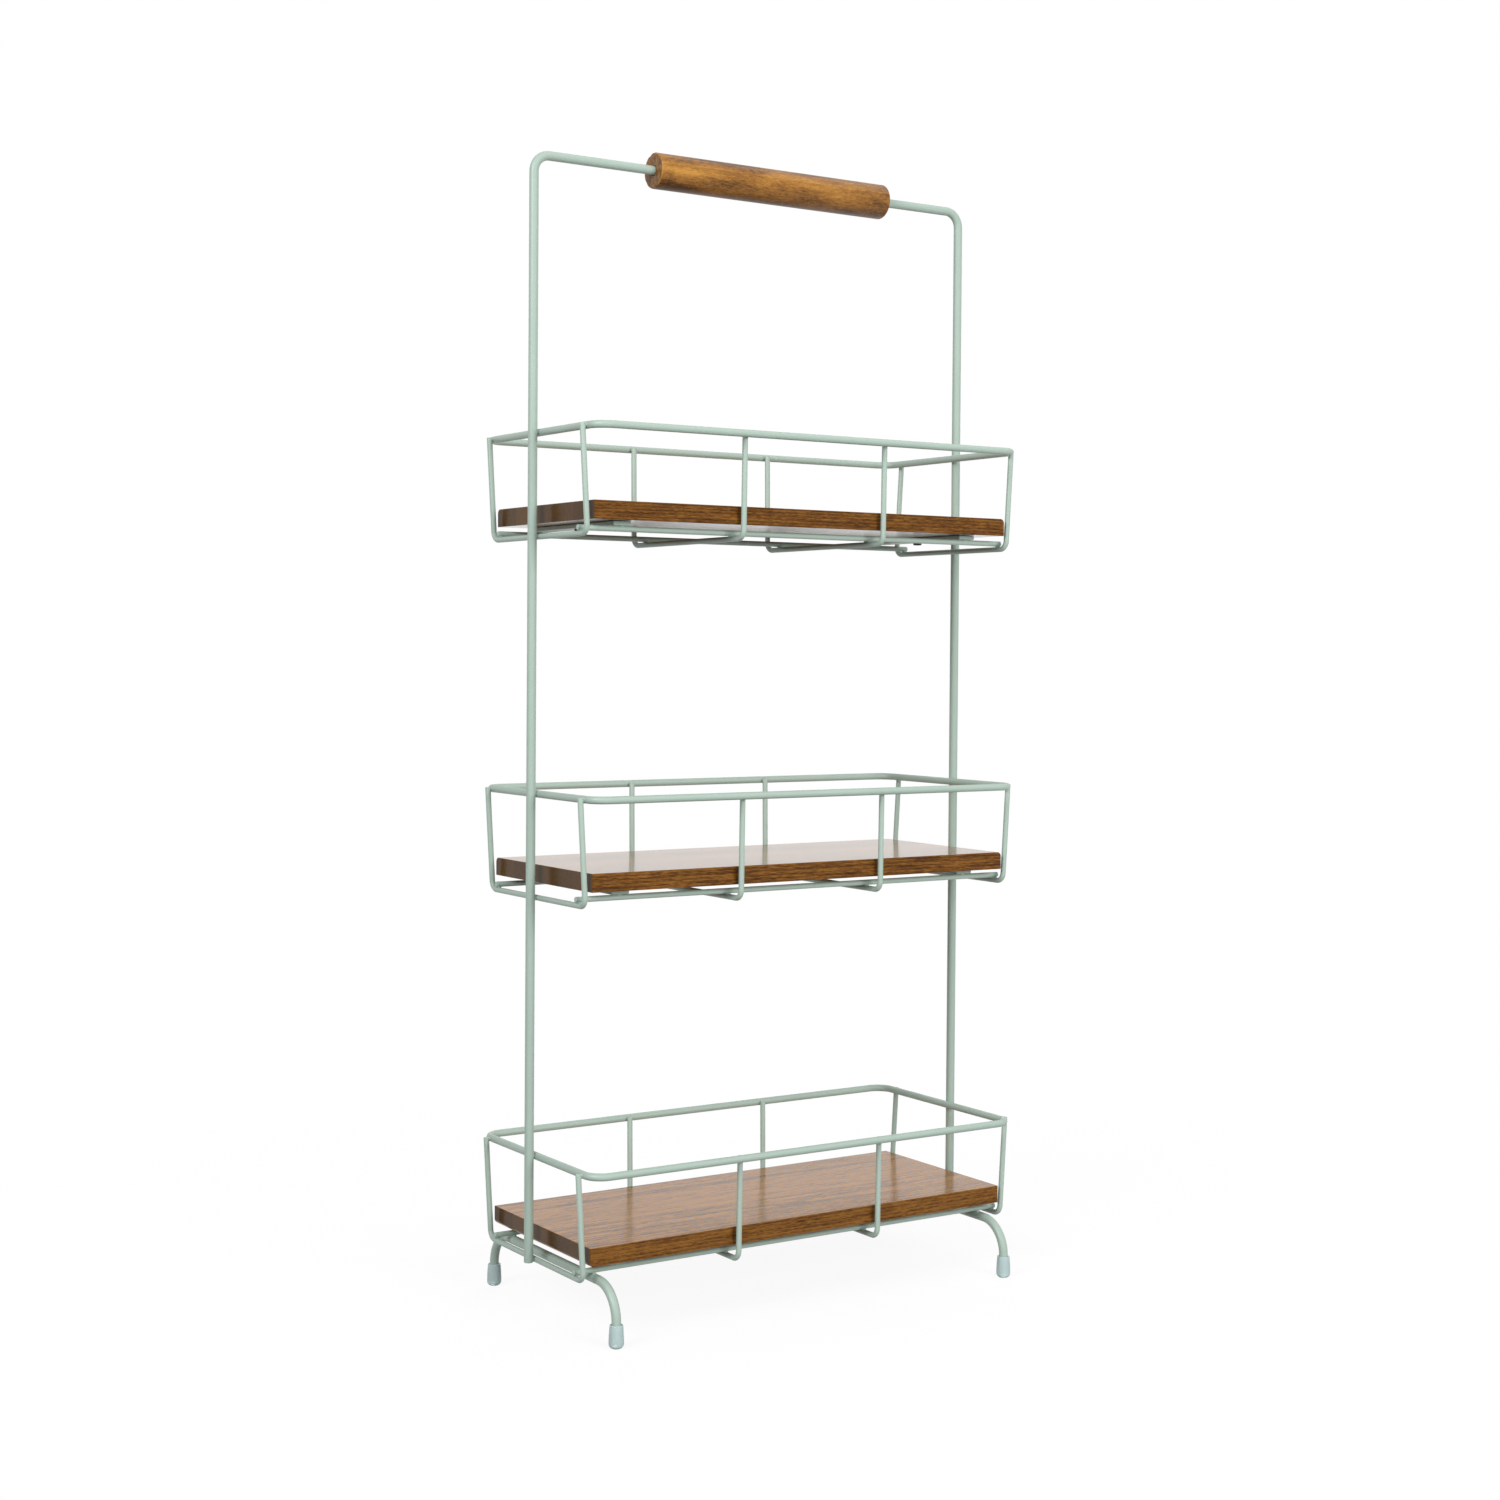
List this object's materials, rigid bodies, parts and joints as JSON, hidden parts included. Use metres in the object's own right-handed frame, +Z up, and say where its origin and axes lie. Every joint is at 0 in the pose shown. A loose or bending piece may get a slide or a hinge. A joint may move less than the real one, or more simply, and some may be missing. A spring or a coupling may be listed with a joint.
{
  "type": "three-tier shelf stand",
  "caption": "Free-standing painted wire stand with stacked open trays, each holding a wooden board, carried by a wire loop with a turning wooden grip.",
  "frame": {"origin": "on the floor, under the middle of the stand", "axes": "+Z up, X along the long side of the trays, the front faces -Y"},
  "size_m": [0.3532, 0.1784, 0.7684],
  "materials": {
    "sage_paint": "satin powder coat, pale sage green",
    "board_wood": "brown stain under a satin lacquer",
    "grip_wood": "brown stain, thinly lacquered",
    "foot_cap": "translucent soft vinyl",
    "black_screw": "black oxide"
  },
  "bodies": {
    "stand": {"carrying_frame": "sage_paint", "bottom_rim": "sage_paint", "bottom_end_hoop_left": "sage_paint", "bottom_end_hoop_right": "sage_paint", "bottom_mid_hoop_left": "sage_paint", "bottom_mid_hoop_right": "sage_paint", "bottom_rail_front": "sage_paint", "bottom_rail_rear": "sage_paint", "bottom_strip_left": "sage_paint", "bottom_strip_right": "sage_paint", "bottom_board": "board_wood", "bottom_screw_left": "black_screw", "bottom_screw_right": "black_screw", "middle_rim": "sage_paint", "middle_end_hoop_left": "sage_paint", "middle_end_hoop_right": "sage_paint", "middle_mid_hoop_left": "sage_paint", "middle_mid_hoop_right": "sage_paint", "middle_rail_front": "sage_paint", "middle_rail_rear": "sage_paint", "middle_strip_left": "sage_paint", "middle_strip_right": "sage_paint", "middle_board": "board_wood", "middle_screw_left": "black_screw", "middle_screw_right": "black_screw", "top_rim": "sage_paint", "top_end_hoop_left": "sage_paint", "top_end_hoop_right": "sage_paint", "top_mid_hoop_left": "sage_paint", "top_mid_hoop_right": "sage_paint", "top_rail_front": "sage_paint", "top_rail_rear": "sage_paint", "top_strip_left": "sage_paint", "top_strip_right": "sage_paint", "top_board": "board_wood", "top_screw_left": "black_screw", "top_screw_right": "black_screw", "leg_left": "sage_paint", "leg_right": "sage_paint", "foot_cap_left_front": "foot_cap", "foot_cap_left_rear": "foot_cap", "foot_cap_right_front": "foot_cap", "foot_cap_right_rear": "foot_cap"},
    "grip": {"handle_grip": "grip_wood"}
  },
  "joints": [
    {"name": "grip_spin", "type": "hinge", "parent": "stand", "child": "grip", "pos_m": [0.0097, 0, 0.7564], "axis": [1, 0, 0], "continuous": true}
  ]
}
